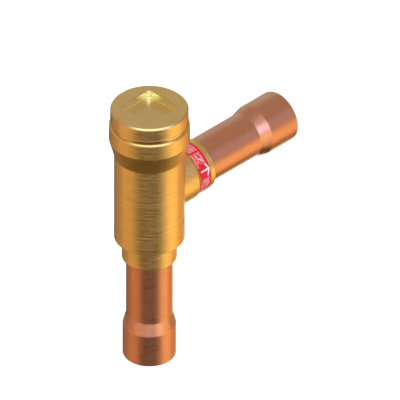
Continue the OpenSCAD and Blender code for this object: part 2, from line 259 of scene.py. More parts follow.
def pick(piece, kind, test):
    """Selects in edit mode only the parts of a kind that pass a test of part and centre."""
    if bpy.context.mode != "EDIT_MESH":
        bpy.ops.object.mode_set(mode="EDIT")
    bpy.ops.mesh.select_mode(type=kind)
    bpy.ops.mesh.select_all(action="DESELECT")
    mesh = bmesh.from_edit_mesh(piece.data)
    parts = {"FACE": mesh.faces, "EDGE": mesh.edges, "VERT": mesh.verts}[kind]
    for part in parts:
        if test(part, middle(part)):
            part.select_set(True)
    mesh.select_flush_mode()
    bmesh.update_edit_mesh(piece.data)


def move_picked(piece, place):
    """Puts each selected vertex where place says, given where it is."""
    mesh = bmesh.from_edit_mesh(piece.data)
    for vertex in mesh.verts:
        if vertex.select:
            vertex.co = place(vertex.co)
    bmesh.update_edit_mesh(piece.data)


def outline(name, corners, closed=True):
    """A flat outline through (radius, height, rounding) corners, in millimetres."""
    nothing_selected()
    bpy.ops.mesh.primitive_circle_add(vertices=len(corners), radius=MM, location=(0, 0, 0))
    piece = bpy.context.object
    piece.name = piece.data.name = name
    for vertex, (radius, height, _) in zip(piece.data.vertices, corners):
        vertex.co = Vector((radius, 0, height)) * MM
    if not closed:
        ends = {0, len(corners) - 1}
        pick(piece, "EDGE", lambda edge, _: {v.index for v in edge.verts} == ends)
        bpy.ops.mesh.delete(type="EDGE")
    for rounding in sorted({corner[2] for corner in corners} - {0}):
        spots = [Vector((r, 0, z)) * MM for r, z, own in corners if own == rounding]
        pick(piece, "VERT", lambda _, at: any((at - spot).length < 0.001 * MM for spot in spots))
        bpy.ops.mesh.bevel(offset=rounding * MM, segments=ROUND_STEPS, affect="VERTICES")
    return piece


def lathe(name, corners, closed=True, steps=TURN_STEPS):
    """A piece turned about the Z axis from an outline."""
    piece = outline(name, corners, closed)
    pick(piece, "VERT", lambda *_: True)
    bpy.ops.mesh.spin(steps=steps, angle=2 * math.pi, center=(0, 0, 0), axis=(0, 0, 1))
    merge(piece)
    return piece


def merge(piece):
    """Joins the points that lie on each other, and turns the faces outwards."""
    pick(piece, "VERT", lambda *_: True)
    bpy.ops.mesh.remove_doubles(threshold=TOUCHING)
    bpy.ops.mesh.normals_make_consistent(inside=False)


def place_on(piece, matrix):
    """Moves a piece's mesh, so that its object stays at the origin."""
    only(piece)
    piece.data.transform(matrix)


def complete(piece, body, slot, material, *nodes):
    """Shades a finished piece, gives it its material, ties it to its body and hides the solids it
    stands for; its slot is not used.
    """
    merge(piece)
    only(piece)
    bpy.ops.object.shade_smooth_by_angle(angle=SHARP_ANGLE)
    even = piece.modifiers.new("even_normals", "WEIGHTED_NORMAL")
    even.keep_sharp = True
    bpy.ops.object.modifier_apply(modifier=even.name)
    piece.data.materials.clear()
    piece.data.materials.append(material)
    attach(piece, body)
    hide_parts(*nodes)


# Node trees

class Graph:
    """Adds nodes to a tree. A value is a number, a colour, a vector or another node's output."""

    def __init__(self, tree):
        self.tree = tree

    def node(self, kind, inputs=None, **settings):
        made = self.tree.nodes.new("ShaderNode" + kind)
        made.location = (180 * (len(self.tree.nodes) % 9), -220 * (len(self.tree.nodes) // 9))
        for key, value in settings.items():
            setattr(made, key, value)
        for key, value in (inputs or {}).items():
            self.feed(made.inputs[key], value)
        return made

    def feed(self, socket, value):
        if isinstance(value, bpy.types.NodeSocket):
            self.tree.links.new(value, socket)
        elif socket.type == "RGBA" and len(value) == 3:
            socket.default_value = (*value, 1.0)
        else:
            socket.default_value = value

    def math(self, operation, *values, clamp=False):
        made = self.node("Math", operation=operation, use_clamp=clamp)
        for socket, value in zip(made.inputs, values):
            self.feed(socket, value)
        return made.outputs[0]

    def vector(self, operation, *values, output="Vector"):
        made = self.node("VectorMath", operation=operation)
        for socket, value in zip(made.inputs, values):
            self.feed(socket, value)
        return made.outputs[output]

    def span(self, value, low, high, to_low=0.0, to_high=1.0, smooth=False):
        made = self.node(
            "MapRange",
            {"Value": value, "From Min": low, "From Max": high, "To Min": to_low,
             "To Max": to_high},
            interpolation_type="SMOOTHSTEP" if smooth else "LINEAR")
        return made.outputs["Result"]

    def mix(self, factor, first, second):
        made = self.node("Mix", data_type="RGBA")
        self.feed(made.inputs[0], factor)
        self.feed(made.inputs[6], first)
        self.feed(made.inputs[7], second)
        return made.outputs[2]

    def noise(self, vector, scale, detail=2.0, roughness=0.5):
        made = self.node(
            "TexNoise",
            {"Vector": vector, "Scale": scale, "Detail": detail, "Roughness": roughness})
        return made.outputs["Fac"]

    def parts(self, vector):
        made = self.node("SeparateXYZ", {"Vector": vector})
        return made.outputs

    def joined(self, x, y, z):
        made = self.node("CombineXYZ", {"X": x, "Y": y, "Z": z})
        return made.outputs[0]

    def radius(self, x, y):
        squares = self.math("ADD", self.math("MULTIPLY", x, x), self.math("MULTIPLY", y, y))
        return self.math("SQRT", squares)


def new_group(name, inputs, outputs):
    """An empty shader node group with named sockets, and the graph and sockets inside it."""
    tree = bpy.data.node_groups.new(name, "ShaderNodeTree")
    for label, kind, value in inputs:
        socket = tree.interface.new_socket(label, in_out="INPUT", socket_type="NodeSocket" + kind)
        if value is not None:
            socket.default_value = value
    for label, kind in outputs:
        tree.interface.new_socket(label, in_out="OUTPUT", socket_type="NodeSocket" + kind)
    graph = Graph(tree)
    given = tree.nodes.new("NodeGroupInput")
    result = tree.nodes.new("NodeGroupOutput")
    return tree, graph, given.outputs, result.inputs


def group_once(name, build):
    """A node group by name, built the first time that it is asked for."""
    return bpy.data.node_groups.get(name) or build(name)


def build_tool_marks(name):
    """Marks of a lathe tool: fine rings along the axis, and circles on the faces across it."""
    tree, graph, given, result = new_group(
        name,
        [("Vector", "Vector", None), ("Rings", "Float", 1500.0), ("Wander", "Float", 40.0)],
        [("Streak", "Float"), ("Fine", "Float")])
    x, y, z = graph.parts(given["Vector"])
    along = graph.math("ADD", z, graph.math("MULTIPLY", graph.radius(x, y), 0.6))
    marks = graph.joined(
        graph.math("MULTIPLY", x, given["Wander"]),
        graph.math("MULTIPLY", y, given["Wander"]),
        graph.math("MULTIPLY", along, given["Rings"]))
    graph.feed(result["Streak"], graph.noise(marks, 1.0, 1.0, 0.5))
    graph.feed(result["Fine"], graph.noise(marks, 2.3, 1.0, 0.5))
    return tree


def build_handling(name):
    """Slow changes of tone and gloss, as left by hands, heat and storage, and small stains."""
    tree, graph, given, result = new_group(
        name,
        [("Vector", "Vector", None), ("Scale", "Float", 60.0)],
        [("Cloud", "Float"), ("Stain", "Float")])
    graph.feed(result["Cloud"], graph.noise(given["Vector"], given["Scale"], 4.0, 0.55))
    small = graph.math("MULTIPLY", given["Scale"], 7.0)
    stain = graph.noise(given["Vector"], small, 3.0, 0.6)
    graph.feed(result["Stain"], graph.span(stain, 0.6, 0.75, smooth=True))
    return tree


def bare_material(name):
    """A material with an empty node tree, its graph, and the socket that takes its shader."""
    material = bpy.data.materials.new(name)
    material.use_nodes = True
    material.node_tree.nodes.clear()
    graph = Graph(material.node_tree)
    output = graph.node("OutputMaterial")
    return material, graph, output.inputs["Surface"]


def new_material(name):
    """A material with a Principled shader, its graph, and the shader's inputs."""
    material, graph, surface = bare_material(name)
    shader = graph.node("BsdfPrincipled")
    graph.feed(surface, shader.outputs[0])
    return material, graph, shader.inputs


def object_vector(graph, centre=(0, 0, 0), turn=(0, 0, 0)):
    """Object coordinates, moved so that a piece's own axis is Z through the origin."""
    coordinates = graph.node("TexCoord").outputs["Object"]
    if centre == (0, 0, 0) and turn == (0, 0, 0):
        return coordinates
    return graph.node(
        "Mapping", {"Vector": coordinates, "Location": centre, "Rotation": turn},
        vector_type="TEXTURE").outputs[0]


def place_group(graph, name, build, **values):
    """Places a node group with its own values, and returns its outputs."""
    made = graph.node("Group", node_tree=group_once(name, build))
    for key, value in values.items():
        graph.feed(made.inputs[key], value)
    return made.outputs


def metal(name, tone, gloss, rings=1500.0, wander=40.0, marks=0.25, relief=0.3, cloud=0.12,
          stain=0.0, depth=0.00002, centre=(0, 0, 0), turn=(0, 0, 0), zone=None):
    """A metal with tool marks and slow changes of tone and gloss.

    Relief is a number, or a function that gives it from the graph and the place. Zone is a function
    that gives from them a mask and the tone there, where the metal is smoother too.
    """
    material, graph, shader = new_material(name)
    at = object_vector(graph, centre, turn)
    lines = place_group(
        graph, "tool_marks", build_tool_marks, Vector=at, Rings=rings, Wander=wander)
    touch = place_group(graph, "handling", build_handling, Vector=at)

    dark = tuple(part * MARK_SHADE for part in tone)
    warm = tuple(part * left for part, left in zip(tone, TARNISH))
    base = graph.mix(graph.span(lines["Streak"], 0.25, 0.75, 0.0, marks), tone, dark)
    base = graph.mix(graph.span(touch["Cloud"], 0.4, 0.75, 0.0, cloud), base, warm)
    base = graph.mix(graph.math("MULTIPLY", touch["Stain"], stain), base, warm)
    rough = graph.math(
        "ADD",
        graph.span(lines["Fine"], 0.3, 0.7, gloss - 0.04, gloss + 0.05),
        graph.span(touch["Cloud"], 0.3, 0.8, -0.02, 0.07))
    if zone:
        mask, zone_tone = zone(graph, at)
        base = graph.mix(mask, base, zone_tone)
        rough = graph.math("MULTIPLY", rough, graph.span(mask, 0.0, 1.0, 1.0, 0.75))
    graph.feed(shader["Base Color"], base)
    graph.feed(shader["Roughness"], rough)
    shader["Metallic"].default_value = 1.0

    height = graph.math("ADD", lines["Streak"], graph.math("MULTIPLY", lines["Fine"], 0.1))
    if callable(relief):
        relief = relief(graph, at)
    bump = graph.node("Bump", {"Strength": relief, "Distance": depth, "Height": height})
    graph.feed(shader["Normal"], bump.outputs[0])
    return material


# Finishes

def chatter(graph, x, y):
    """Strength of the tool marks round a turned piece, which the chuck's jaws left uneven."""
    angle = graph.math("ARCTAN2", y, x)
    wave = graph.math("COSINE", graph.math("MULTIPLY_ADD", angle, float(CHUCK_JAWS), math.pi))
    return graph.span(wave, -0.5, 1.0, 0.22, 1.0, smooth=True)


def brass_turned(settings, barrel, collar):
    """Turned brass, with fainter tool marks past the barrel's radius and below the collar."""
    fade_from, fade_to, faint = barrel + 0.1 * MM, barrel + 1.0 * MM, 0.12

    def marks_left(graph, at):
        x, y, z = graph.parts(at)
        turned = graph.math(
            "MAXIMUM",
            graph.span(graph.radius(x, y), fade_from, fade_to, 1.0, faint),
            graph.math("GREATER_THAN", z, collar))
        return graph.math("MULTIPLY", turned, chatter(graph, x, y))

    return metal("body_brass", tuple(settings.brass), 0.30, rings=1000.0, wander=110.0,
                 marks=0.5, relief=marks_left, depth=0.00013)


def brass_cap(settings, deep, top, foot, reach, side, edge):
    """Faced brass, with painted light on the wrench socket's walls: a pale tone for the light they
    catch, and a brighter painted highlight along their rounded foot.

    The socket lies between the heights deep and top, within reach of the axis, and its foot is
    rounded. Tool marks are plain to see only on the cap's side, below its edge.
    """
    blend = 0.1 * MM
    wall_foot, wall_top = deep + foot, top - 0.2 * MM

    def socket_wall_painted_light(graph, at):
        x, y, z = graph.parts(at)
        off_axis = graph.math("MAXIMUM", graph.math("ABSOLUTE", x), graph.math("ABSOLUTE", y))
        above = graph.span(z, deep, deep + blend)
        below = graph.span(z, wall_top - blend, wall_top, 1.0, 0.0)
        # painted light on the socket's walls, and a brighter painted highlight at their rounded foot
        tone = graph.mix(graph.span(z, wall_foot - blend, wall_foot),
                         tuple(settings.painted_highlight_brass), tuple(settings.painted_light_brass))
        mask = graph.math("MULTIPLY", graph.math("MULTIPLY", above, below),
                          graph.math("LESS_THAN", off_axis, reach))
        return mask, tone

    def marks_left(graph, at):
        x, y, z = graph.parts(at)
        band = graph.math(
            "MULTIPLY",
            graph.span(graph.radius(x, y), side - 0.3 * MM, side, smooth=True),
            graph.span(z, top - edge, top, 1.0, 0.0))
        return graph.math("MULTIPLY_ADD", band, chatter(graph, x, y), 0.01)

    return metal("cap_brass", tuple(settings.cap_brass), 0.28, rings=1000.0, wander=110.0,
                 marks=0.3, relief=marks_left, depth=0.00013, cloud=0.08, zone=socket_wall_painted_light)


def copper_drawn(name, settings, centre, turn):
    """Drawn copper of a stub tube, whose mouth is centred at a place and whose axis is turned."""
    return metal(name, tuple(settings.copper), 0.30, rings=600.0, wander=90.0, marks=0.12,
                 depth=0.00005, cloud=0.2, centre=centre, turn=turn)


# Operators

class VALVE_OT_body(bpy.types.Operator):
    """Turn the body, open it for the branch, and draw the branch boss out of its wall"""

    bl_idname = "valve.body"
    bl_label = "Body"

    def execute(self, context):
        sizes = context.scene.valve_body_sizes
        s = in_millimetres(sizes)
        foot, rim = BODY_LOW.z / MM, BODY_HIGH.z / MM
        boss_end = BODY_HIGH.x / MM
        collar = BODY_HIGH.y / MM
        outlet = OUTLET_Z / MM
        barrel, chamber, thread = s.barrel / 2, s.chamber / 2, s.thread / 2
        bore, socket = s.flow / 2, s.stub_seat / 2
        lip_top, lip_foot = bore + s.seat_wall / 2, bore + s.seat_wall
        socket_floor = foot + s.stub_insert
        lead_in = 0.4
        # the part of a wall that is cut open for the branch: half its angle, half its height, and
        # into how many rows it is turned
        outer_half, outer_rows = 16.9, 24
        inner_half, inner_rows = 11.4, 36
        outer_window, inner_window = (75, outer_half), (52.5, inner_half)
        outer_wall = [(barrel, outlet - outer_half + 2 * outer_half * i / outer_rows, 0)
                      for i in range(outer_rows + 1)]
        inner_wall = [(chamber, outlet + inner_half - 2 * inner_half * i / inner_rows, 0)
                      for i in range(inner_rows + 1)]
        body = lathe("valve_body_turned", [
            (socket, foot, 0.2),
            (s.spigot / 2, foot, s.edge),
            (s.spigot / 2, s.barrel_foot, 0.4),
            (barrel, s.barrel_foot, s.edge),
            *outer_wall,
            (barrel, s.taper_foot, 0.5),
            (collar, s.collar_foot, 0.3),
            (collar, rim - s.collar_edge, 0.15),
            (collar - s.collar_edge, rim, 0.15),
            (thread + lead_in, rim, 0.1),
            (thread, rim - lead_in, 0),
            (thread, s.shoulder, 0),
            (chamber, s.shoulder, 0.2),
            *inner_wall,
            (chamber, s.chamber_floor, 0.4),
            (lip_foot, s.chamber_floor, 0.2),
            (lip_foot, s.seat - s.seat_wall / 2, 0.15),
            (lip_top, s.seat, 0.2),
            (bore, s.seat, 0.2),
            (bore, socket_floor, 0.1),
            (socket, socket_floor, 0),
        ])

        def ring_at(x, ring):
            """Place on an upright ring round the branch's axis, at a point's own angle."""
            def place(at):
                angle = math.atan2(at.z - OUTLET_Z, at.y)
                return Vector((x, ring * math.cos(angle), OUTLET_Z + ring * math.sin(angle)))
            return place

        def ring_on_wall(radius, ring):
            """Place where such a ring, carried along the branch, meets the turned wall."""
            def place(at):
                spot = ring_at(0, ring)(at)
                return Vector((math.sqrt(radius ** 2 - spot.y ** 2), spot.y, spot.z))
            return place

        def in_window(at, half_angle, half_height):
            return (abs(math.atan2(at.y, at.x)) < math.radians(half_angle)
                    and abs(at.z - OUTLET_Z) < half_height * MM)

        def open_window(radius, window):
            """Takes the wall's faces out of a window."""
            wall_depth = 0.2 * MM
            pick(body, "FACE", lambda _, at: (
                abs(math.hypot(at.x, at.y) - radius) < wall_depth and in_window(at, *window)))
            bpy.ops.mesh.delete(type="FACE")

        def fill_window(radius, window):
            """Joins a window's border to the ring in it, with the new points on the wall."""
            half_angle, half_height = window
            pick(body, "EDGE", lambda edge, _: not edge.is_manifold)
            bpy.ops.mesh.bridge_edge_loops(number_cuts=1)
            # the new points lie a little behind the wall, and inside the window's border
            behind, past = 1.0 * MM, 0.01 * MM
            inside = (half_angle - 1, half_height - 0.05)
            pick(body, "VERT", lambda _, at: (
                radius - behind < math.hypot(at.x, at.y) < radius + past
                and in_window(at, *inside)))
            move_picked(body, lambda at: Vector((*(at.xy.normalized() * radius), at.z)))

        open_window(barrel * MM, outer_window)
        bpy.ops.mesh.primitive_circle_add(
            vertices=BRANCH_STEPS, radius=s.root / 2 * MM, location=(0, 0, 0))
        move_picked(body, lambda at: ring_at(barrel * MM, s.root / 2 * MM)(
            Vector((0, at.x, OUTLET_Z + at.y))))
        move_picked(body, ring_on_wall(barrel * MM, s.root / 2 * MM))
        fill_window(barrel * MM, outer_window)

        fade_rows = 8
        narrowing = []
        for i in range(fade_rows + 1):
            done = (1 - math.cos(math.pi * i / fade_rows)) / 2
            narrowing.append(ring_at(
                (s.root_end + s.root_fade * i / fade_rows) * MM,
                (s.root + (s.boss - s.root) * done) / 2 * MM))
        pick(body, "EDGE", lambda edge, _: edge.is_boundary)
        for place in (
            *narrowing,
            ring_at(boss_end * MM, s.boss / 2 * MM),
            ring_at(boss_end * MM, socket * MM),
            ring_at((boss_end - s.stub_insert) * MM, socket * MM),
            ring_at((boss_end - s.stub_insert) * MM, bore * MM),
            ring_on_wall(chamber * MM, bore * MM),
        ):
            bpy.ops.mesh.extrude_edges_move()
            move_picked(body, place)
        open_window(chamber * MM, inner_window)
        fill_window(chamber * MM, inner_window)

        def on_ring(ring, x, wall):
            """Test for the edges of a ring round the branch, at a place or on a wall."""
            near = 0.02 * MM

            def test(edge, at):
                there = x if wall is None else math.sqrt(max(wall ** 2 - (at.y / MM) ** 2, 0))
                outwards = Vector((0, at.y, at.z - OUTLET_Z))
                along_ring = abs((edge.verts[0].co - edge.verts[1].co).dot(outwards)) < 1e-9
                return (along_ring and abs(outwards.length - ring * MM) < near
                        and abs(at.x - there * MM) < near)
            return test

        for ring, x, wall, width, segments in (
            (s.root / 2, None, barrel, s.fillet, 6),
            (s.boss / 2, boss_end, None, s.edge, 3),
            (socket, boss_end, None, 0.2, 2),
            (bore, None, chamber, 0.3, 3),
        ):
            pick(body, "EDGE", on_ring(ring, x, wall))
            bpy.ops.mesh.bevel(offset=width * MM, segments=segments, affect="EDGES")
        brass = brass_turned(context.scene.valve_finishes, sizes.barrel / 2, sizes.taper_foot - MM)
        complete(body, "housing", "body_brass", brass, "valve_body")
        return {"FINISHED"}


class VALVE_OT_tubes(bpy.types.Operator):
    """Turn the two stub tubes with their flared sockets, and the brazing fillets at the body"""

    bl_idname = "valve.tubes"
    bl_label = "Stub tubes"

    def execute(self, context):
        s = in_millimetres(context.scene.valve_tube_sizes)
        finishes = context.scene.valve_finishes
        outside = INLET_HIGH.x / MM
        bore, neck = s.socket / 2, s.neck / 2
        inner_neck = neck - s.wall
        neck_foot = s.depth + s.flare
        outer_mouth = 1.7 * s.mouth
        upright = Matrix.Identity(4)
        from_outlet = (Matrix.Translation((OUTLET_HIGH.x, 0, OUTLET_Z))
                       @ Matrix.Rotation(-math.pi / 2, 4, "Y"))
        for name, node, end, matrix, turn in (
            ("inlet_stub", "inlet_tube", INLET_HIGH.z / MM, upright, (0, 0, 0)),
            ("outlet_stub", "outlet_tube", (OUTLET_HIGH.x - OUTLET_LOW.x) / MM, from_outlet,
             (0, -math.pi / 2, 0)),
        ):
            stub = lathe(name, [
                (outside, 0, outer_mouth),
                (outside, s.depth, s.bend),
                (neck, neck_foot, s.bend),
                (neck, end, 0.2),
                (inner_neck, end, 0.2),
                (inner_neck, neck_foot, s.bend),
                (bore, s.depth, s.bend),
                (bore, 0, s.mouth),
            ])
            place_on(stub, matrix)
            copper = copper_drawn(name + "_copper", finishes, tuple(matrix.translation), turn)
            complete(stub, "housing", "tube_copper", copper, node)

        alloy = metal("brazing_alloy", tuple(finishes.silver), 0.32, rings=300.0, wander=300.0,
                      marks=0.2, cloud=0.4, stain=0.4)
        under_spigot = Matrix.Translation((0, 0, BODY_LOW.z))
        at_boss_end = (Matrix.Translation((BODY_HIGH.x, 0, OUTLET_Z))
                       @ Matrix.Rotation(-math.pi / 2, 4, "Y"))
        for name, node, matrix in (
            ("inlet_fillet", "inlet_braze", under_spigot),
            ("outlet_fillet", "outlet_braze", at_boss_end),
        ):
            hollow = [(neck + s.braze * (1 - math.sin(math.radians(a))),
                       s.braze * (math.cos(math.radians(a)) - 1), 0) for a in range(0, 91, 15)]
            fillet = lathe(name, [(neck, 0, 0), *hollow])
            place_on(fillet, matrix)
            complete(fillet, "housing", "brazing_alloy", alloy, node)
        return {"FINISHED"}


class VALVE_OT_cap(bpy.types.Operator):
    """Turn the screw cap, sink its square wrench socket, and add the sealing ring below it"""

    bl_idname = "valve.cap"
    bl_label = "Cap and gasket"

    def execute(self, context):
        s = in_millimetres(context.scene.valve_cap_sizes)
        finishes = context.scene.valve_finishes
        foot, top = CAP_LOW.z / MM, CAP_HIGH.z / MM
        low, high = GASKET_LOW.z / MM, GASKET_HIGH.z / MM
        head = CAP_HIGH.x / MM
        thread = context.scene.valve_body_sizes.thread / 2 / MM
        thread_gap, face_width, side_band = 0.05, 2.0, 1.2
        shank = thread - thread_gap
        bore = s.bore / 2
        cap = lathe("screw_cap", [
            (0, s.roof, 0),
            (bore, s.roof, 0.3),
            (bore, foot, 0.2),
            (shank, foot, 0.3),
            (shank, high - 3 * s.undercut, 0.1),
            (shank - s.undercut, high - 2 * s.undercut, 0.2),
            (shank - s.undercut, high, 0.2),
            (head, high, 0.3),
            (head, top - s.edge, 0.12),
            (head - s.edge, top, 0.12),
            (head - face_width, top, 0),
        ], closed=False, steps=BRANCH_STEPS)

        half = s.wrench / 2
        flat = half - s.corner
        deep = top - s.depth

        def socket_ring(scale, height):
            """Place on a scaled rounded square at a height, at a point's own angle."""
            def place(at):
                angle = math.atan2(at.y, at.x)
                c, d = abs(math.cos(angle)), abs(math.sin(angle))
                reach = half / max(c, d)
                if reach * min(c, d) > flat:
                    reach = flat * (c + d) + math.sqrt(s.corner ** 2 - flat ** 2 * (c - d) ** 2)
                across = Vector((math.cos(angle), math.sin(angle), 0)) * reach * scale * MM
                return across + Vector((0, 0, height * MM))
            return place

        def on_socket(height):
            """Test for the edges of the socket's outline at a height."""
            place = socket_ring(1.0, height)
            level, near = 0.001 * MM, 0.01 * MM
            return lambda edge, _: all(
                abs(v.co.z - height * MM) < level and (place(v.co) - v.co).length < near
                for v in edge.verts)

        # a ring round the socket, its upper edge, its floor's edge, and two rings on the floor
        around = 1.1
        pick(cap, "EDGE", lambda edge, _: edge.is_boundary)
        for scale, height in ((around, top), (1.0, top), (1.0, deep), (0.9, deep), (0.45, deep)):
            bpy.ops.mesh.extrude_edges_move()
            move_picked(cap, socket_ring(scale, height))
        bpy.ops.mesh.extrude_edges_move()
        bpy.ops.mesh.merge(type="CENTER")
        for height, width in ((top, s.wrench_edge), (deep, s.wrench_foot)):
            pick(cap, "EDGE", on_socket(height))
            bpy.ops.mesh.bevel(offset=width * MM, segments=3, affect="EDGES")
        brass = brass_cap(finishes, deep * MM, CAP_HIGH.z, s.wrench_foot * MM, half * around * MM,
                          (head - side_band) * MM, s.edge * MM)
        complete(cap, "housing", "cap_brass", brass, "end_cap")

        flush = head - s.groove
        ring = lathe("gasket_ring", [
            (thread, low, 0.15),
            (flush, low, 0.2),
            (flush, high, 0.3),
            (thread, high, 0.15),
        ])
        # the ring's tone is partly its own brass and partly painted shade for the groove between cap
        # and collar
        soft = metal("gasket_brass", tuple(finishes.gasket), 0.15, marks=0.3, cloud=0.2)
        complete(ring, "housing", "gasket_copper", soft, "cap_gasket")
        return {"FINISHED"}


class VALVE_OT_label(bpy.types.Operator):
    """Wrap the red label with its plain flow arrows round the branch boss"""

    bl_idname = "valve.label"
    bl_label = "Label"

    def execute(self, context):
        s = in_millimetres(context.scene.valve_label_sizes)
        finishes = context.scene.valve_finishes
        boss = context.scene.valve_body_sizes.boss / 2 / MM
        inner, outer = boss + s.glue, LABEL_HIGH.y / MM
        low, high = LABEL_LOW.x / MM + s.trim, LABEL_HIGH.x / MM
        band = lathe("label_band", [
            (inner, low, 0),
            (outer, low, 0.06),
            (outer, high, 0.06),
            (inner, high, 0),
        ], steps=BRANCH_STEPS)
        place_on(band, ON_BRANCH)

        material, graph, shader = new_material("label_film")
        at = object_vector(graph)
        x, y, z = graph.parts(at)
        # the angle round the branch grows downwards from its -Y side, and one arrow stands 23
        # degrees above that side; around and along are millimetres from the nearest arrow's tip
        arrows, first_arrow = 4, 23 / 360
        height = graph.math("SUBTRACT", z, OUTLET_Z)
        angle = graph.math(
            "ARCTAN2", graph.math("MULTIPLY", height, -1.0), graph.math("MULTIPLY", y, -1.0))
        turn = graph.math(
            "ADD", graph.math("DIVIDE", angle, 2 * math.pi), first_arrow + 0.5 / arrows)
        repeat = graph.math("FRACT", graph.math("MULTIPLY", turn, float(arrows)))
        around = graph.math(
            "MULTIPLY", graph.math("SUBTRACT", repeat, 0.5), 2 * math.pi * outer / arrows)
        along = graph.math("SUBTRACT", graph.math("DIVIDE", x, MM), high - s.margin)
        side = graph.math("ABSOLUTE", around)

        def within(value, limit, soft=0.05):
            return graph.span(value, limit - soft, limit + soft, 1.0, 0.0)

        def between(value, start, end):
            off_centre = graph.math("ABSOLUTE", graph.math("SUBTRACT", value, (start + end) / 2))
            return within(off_centre, (end - start) / 2)

        def field(around_from, around_to, along_from, along_to):
            """Mask of a rectangle on the film, in millimetres from an arrow's tip."""
            return graph.math("MULTIPLY", between(around, around_from, around_to),
                              between(along, along_from, along_to))

        shaft_half, tail, neck = 0.42, -5.2, -0.2
        shaft = graph.math("MULTIPLY", within(side, shaft_half), between(along, tail, neck))
        # distance from the line through an arm, which leans back from the tip
        arm_half, arm_reach, lean_along, lean_aside = 0.4, 3.1, 0.905, 0.425
        off_arm = graph.math("ABSOLUTE", graph.math(
            "ADD", graph.math("MULTIPLY", along, lean_along),
            graph.math("MULTIPLY", side, lean_aside)))
        arms = graph.math("MULTIPLY", within(off_arm, arm_half), within(side, arm_reach))
        arrow = graph.math("MAXIMUM", shaft, arms)

        # lines of wavy print beside the arrow, worn in places, and fainter ones in other fields
        wave_height, line_gap = 4.5, 0.62
        wave = graph.noise(at, 420.0, 1.0, 0.5)
        lines = graph.math(
            "PINGPONG", graph.math("MULTIPLY_ADD", wave, wave_height, along), line_gap)
        worn = graph.span(graph.noise(at, 700.0, 2.0, 0.6), 0.4, 0.6, 0.25, 0.8)
        plain_field = field(-9.6, -3.6, -4.9, -0.7)
        print_lines = graph.math("MULTIPLY", graph.span(lines, 0.28, 0.36), plain_field)
        print_lines = graph.math("MULTIPLY", print_lines, worn)
        faint_fields = graph.math(
            "MAXIMUM", field(4.2, 9.9, -5.9, -0.5), field(-9.9, -2.4, -6.4, -5.3))
        faint_lines = graph.math("MULTIPLY", graph.span(lines, 0.1, 0.5, 0.08, 0.42), faint_fields)
        printed = graph.math("MAXIMUM", arrow, graph.math("MAXIMUM", print_lines, faint_lines))

        touch = place_group(graph, "handling", build_handling, Vector=at, Scale=120.0)
        red = graph.mix(graph.span(touch["Cloud"], 0.3, 0.8, 0.0, 0.25), tuple(finishes.label),
                        tuple(part * 0.7 for part in finishes.label))
        graph.feed(shader["Base Color"], graph.mix(printed, red, tuple(finishes.print)))
        graph.feed(shader["Roughness"], graph.span(touch["Cloud"], 0.2, 0.8, 0.24, 0.36))
        bump = graph.node("Bump", {"Strength": 0.4, "Distance": 0.00002, "Height": printed})
        graph.feed(shader["Normal"], bump.outputs[0])
        shader["Specular IOR Level"].default_value = 0.25
        complete(band, "housing", "label_film", material, "flow_label")
        return {"FINISHED"}


class VALVE_OT_spring(bpy.types.Operator):
    """Wind the closing spring, with a closed turn at each end"""

    bl_idname = "valve.spring"
    bl_label = "Closing spring"

    def execute(self, context):
        sizes = context.scene.valve_spring_sizes
        finishes = context.scene.valve_finishes
        turns = sizes.turns
        wire = sizes.wire / 2
        coil = sizes.coil / 2 - wire
        low, high = SPRING_LOW.z + wire, SPRING_HIGH.z - wire
        pitch = (high - low - 2 * sizes.wire) / (turns - 2)

        def height(turn):
            if turn <= 1:
                return low + sizes.wire * turn
            if turn >= turns - 1:
                return high - sizes.wire * (turns - turn)
            return low + sizes.wire + pitch * (turn - 1)

        nothing_selected()
        curve = bpy.data.curves.new("closing_coil", "CURVE")
        curve.dimensions = "3D"
        curve.bevel_depth = wire
        curve.bevel_resolution = 3
        curve.use_fill_caps = True
        spline = curve.splines.new("POLY")
        spline.points.add(turns * COIL_STEPS)
        for i, point in enumerate(spline.points):
            angle = 2 * math.pi * i / COIL_STEPS
            point.co = (coil * math.cos(angle), coil * math.sin(angle), height(i / COIL_STEPS), 1)
        piece = bpy.data.objects.new("closing_coil", curve)
        context.scene.collection.objects.link(piece)
        only(piece)
        bpy.ops.object.convert(target="MESH")
        piece = context.object
        piece.data.name = piece.name
        steel = metal("spring_steel", tuple(finishes.steel), 0.24, rings=400.0, wander=400.0,
                      relief=0.2, marks=0.2)
        complete(piece, "housing", "spring_steel", steel, "closing_spring")
        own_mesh(piece)
        return {"FINISHED"}


class VALVE_OT_inner(bpy.types.Operator):
    """Give the pieces inside the body their finishes"""

    bl_idname = "valve.inner"
    bl_label = "Inner pieces"

    def execute(self, context):
        finishes = context.scene.valve_finishes
        steel = metal("stainless_steel", tuple(finishes.steel), 0.24, relief=0.5, marks=0.2)
        brass = metal("inner_brass", tuple(finishes.brass), 0.24, relief=0.5, marks=0.2)
        plastic, graph, shader = new_material("sealing_plastic")
        touch = place_group(
            graph, "handling", build_handling, Vector=object_vector(graph), Scale=150.0)
        white = tuple(finishes.plastic)
        yellowed = tuple(part * 0.86 for part in white)
        graph.feed(shader["Base Color"], graph.mix(
            graph.span(touch["Cloud"], 0.3, 0.8, 0.0, 0.5), white, yellowed))
        graph.feed(shader["Roughness"], graph.span(touch["Cloud"], 0.2, 0.8, 0.42, 0.56))
        for names, material in (
            (("piston_guide", "seal_retainer", "retainer_screw", "lock_washer"), steel),
            (("piston", "valve_plate"), brass),
            (("piston_ring", "seal_disc"), plastic),
        ):
            for name in names:
                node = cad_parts[name]
                node.data.materials.clear()
                node.data.materials.append(material)
        return {"FINISHED"}


def seen_ray(graph):
    """1 for a ray from the camera, a mirror or glass, and 0 for one that only lights."""
    path = graph.node("LightPath").outputs
    either = graph.math("ADD", path["Is Camera Ray"], path["Is Glossy Ray"], clamp=True)
    return graph.math("ADD", either, path["Is Transmission Ray"], clamp=True)


